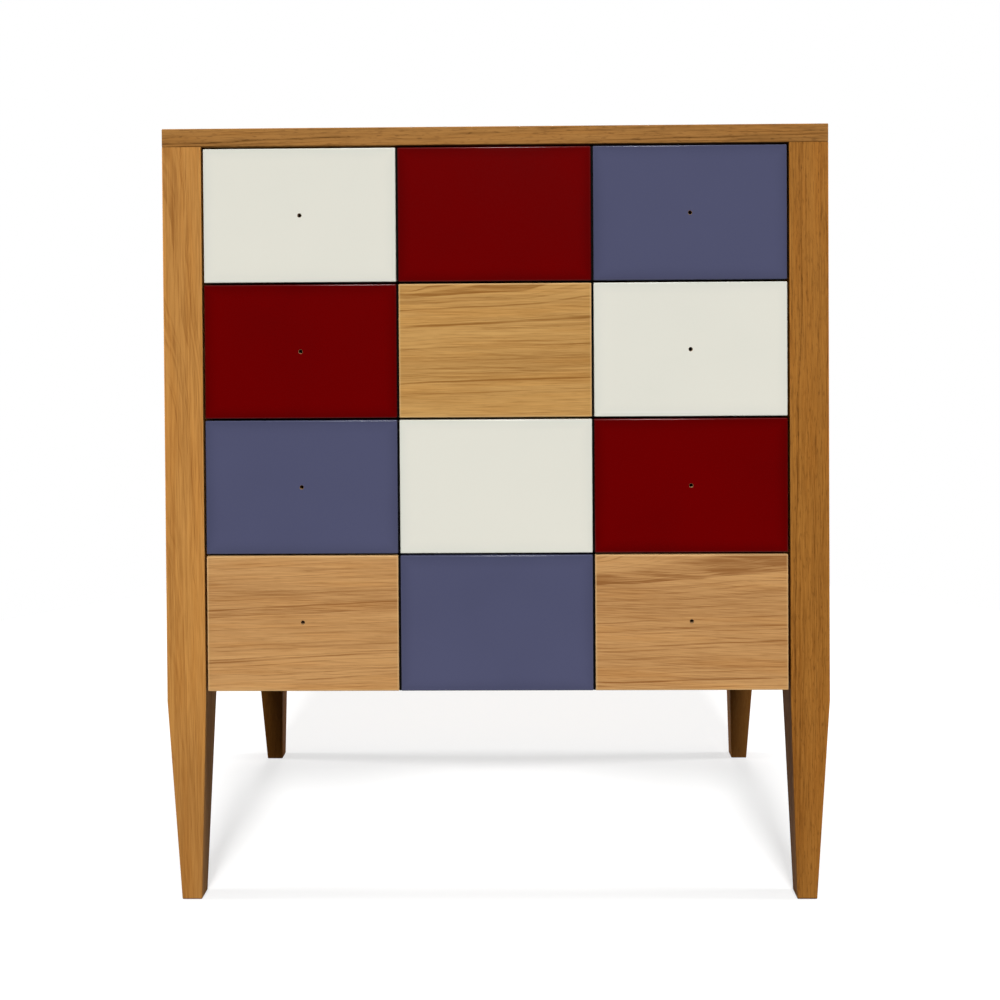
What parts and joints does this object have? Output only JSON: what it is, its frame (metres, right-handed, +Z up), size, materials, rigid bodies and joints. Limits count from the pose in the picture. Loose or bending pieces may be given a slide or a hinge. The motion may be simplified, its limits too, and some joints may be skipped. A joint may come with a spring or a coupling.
{
  "type": "chest of drawers",
  "caption": "Oak chest of drawers on tapered square posts, with a grid of white, red, blue-grey and oak front panels on full-width drawers and bare knob holes",
  "frame": {"origin": "on the floor under the middle of the chest", "axes": "+X to the right seen from the front, +Y to the back, +Z up; the drawers pull out along -Y"},
  "size_m": [0.8, 0.46, 0.9325],
  "materials": {
    "oak": "oiled oak, satin",
    "white_lacquer": "satin lacquer on fibreboard",
    "red_lacquer": "satin lacquer on fibreboard",
    "blue_grey_lacquer": "satin lacquer on fibreboard",
    "black_stain": "black stain, matt",
    "drawer_wood": "sanded beech, sealed",
    "plywood": "plywood with an oak face, sealed",
    "zinc_steel": "zinc-plated sheet",
    "screw_steel": "zinc-plated, yellow chromate"
  },
  "bodies": {
    "carcass": {"top_board": "oak", "front_left_post": "oak", "front_right_post": "oak", "rear_left_post": "oak", "rear_right_post": "oak", "left_side_panel": "oak", "right_side_panel": "oak", "back_panel": "plywood", "bottom_panel": "plywood", "front_top_rail": "drawer_wood", "rear_top_rail": "drawer_wood", "runner_battens": "drawer_wood", "carcass_dowels": "drawer_wood", "top_board_screws": "screw_steel", "cabinet_slides": "zinc_steel", "cabinet_slide_screws": "screw_steel"},
    "drawer_1": {"drawer_1_front_left": "white_lacquer", "drawer_1_front_centre": "red_lacquer", "drawer_1_front_right": "blue_grey_lacquer", "drawer_1_box_front": "black_stain", "drawer_1_left_side": "drawer_wood", "drawer_1_right_side": "drawer_wood", "drawer_1_back": "drawer_wood", "drawer_1_bottom": "plywood", "drawer_1_slides": "zinc_steel", "drawer_1_screws": "screw_steel"},
    "runner_1": {"drawer_1_middle_slides": "zinc_steel"},
    "drawer_2": {"drawer_2_front_left": "red_lacquer", "drawer_2_front_centre": "oak", "drawer_2_front_right": "white_lacquer", "drawer_2_box_front": "black_stain", "drawer_2_left_side": "drawer_wood", "drawer_2_right_side": "drawer_wood", "drawer_2_back": "drawer_wood", "drawer_2_bottom": "plywood", "drawer_2_slides": "zinc_steel", "drawer_2_screws": "screw_steel"},
    "runner_2": {"drawer_2_middle_slides": "zinc_steel"},
    "drawer_3": {"drawer_3_front_left": "blue_grey_lacquer", "drawer_3_front_centre": "white_lacquer", "drawer_3_front_right": "red_lacquer", "drawer_3_box_front": "black_stain", "drawer_3_left_side": "drawer_wood", "drawer_3_right_side": "drawer_wood", "drawer_3_back": "drawer_wood", "drawer_3_bottom": "plywood", "drawer_3_slides": "zinc_steel", "drawer_3_screws": "screw_steel"},
    "runner_3": {"drawer_3_middle_slides": "zinc_steel"},
    "drawer_4": {"drawer_4_front_left": "oak", "drawer_4_front_centre": "blue_grey_lacquer", "drawer_4_front_right": "oak", "drawer_4_box_front": "black_stain", "drawer_4_left_side": "drawer_wood", "drawer_4_right_side": "drawer_wood", "drawer_4_back": "drawer_wood", "drawer_4_bottom": "plywood", "drawer_4_slides": "zinc_steel", "drawer_4_screws": "screw_steel"},
    "runner_4": {"drawer_4_middle_slides": "zinc_steel"}
  },
  "joints": [
    {"name": "drawer_1_pull", "type": "slide", "parent": "carcass", "child": "drawer_1", "axis": [0, -1, 0], "range_m": [0, 0.38]},
    {"name": "runner_1_travel", "type": "slide", "parent": "carcass", "child": "runner_1", "axis": [0, -1, 0], "range_m": [0, 0.19]},
    {"name": "drawer_2_pull", "type": "slide", "parent": "carcass", "child": "drawer_2", "axis": [0, -1, 0], "range_m": [0, 0.38]},
    {"name": "runner_2_travel", "type": "slide", "parent": "carcass", "child": "runner_2", "axis": [0, -1, 0], "range_m": [0, 0.19]},
    {"name": "drawer_3_pull", "type": "slide", "parent": "carcass", "child": "drawer_3", "axis": [0, -1, 0], "range_m": [0, 0.38]},
    {"name": "runner_3_travel", "type": "slide", "parent": "carcass", "child": "runner_3", "axis": [0, -1, 0], "range_m": [0, 0.19]},
    {"name": "drawer_4_pull", "type": "slide", "parent": "carcass", "child": "drawer_4", "axis": [0, -1, 0], "range_m": [0, 0.38]},
    {"name": "runner_4_travel", "type": "slide", "parent": "carcass", "child": "runner_4", "axis": [0, -1, 0], "range_m": [0, 0.19]}
  ],
  "couplings": [
    {"joint": "runner_1_travel", "follows": "drawer_1_pull", "ratio": 0.5},
    {"joint": "runner_2_travel", "follows": "drawer_2_pull", "ratio": 0.5},
    {"joint": "runner_3_travel", "follows": "drawer_3_pull", "ratio": 0.5},
    {"joint": "runner_4_travel", "follows": "drawer_4_pull", "ratio": 0.5}
  ]
}
